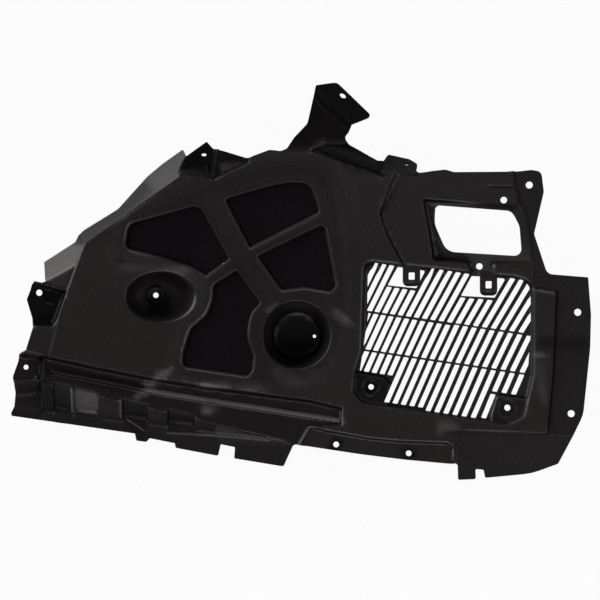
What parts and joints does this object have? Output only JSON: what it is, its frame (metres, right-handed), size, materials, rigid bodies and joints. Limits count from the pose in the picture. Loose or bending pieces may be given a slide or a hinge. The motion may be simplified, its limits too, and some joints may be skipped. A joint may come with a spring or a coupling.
{
  "type": "fender liner",
  "caption": "Moulded plastic fender liner panel with a slotted grille, a window, deep screw cups, recessed fields and folded mounting tabs.",
  "frame": {"origin": "centre of the bounding box in X and Y, at the height of the surface it rests on", "axes": "+Z out of the visible face, square to the sheet; +X from the folded left flange towards the grille; +Y from the lower strip towards the arm"},
  "size_m": [0.6979, 0.4788, 0.0767],
  "materials": {
    "liner_plastic": "black moulded plastic with a low sheen"
  },
  "bodies": {
    "root": {"fender_liner": "liner_plastic"}
  },
  "joints": []
}
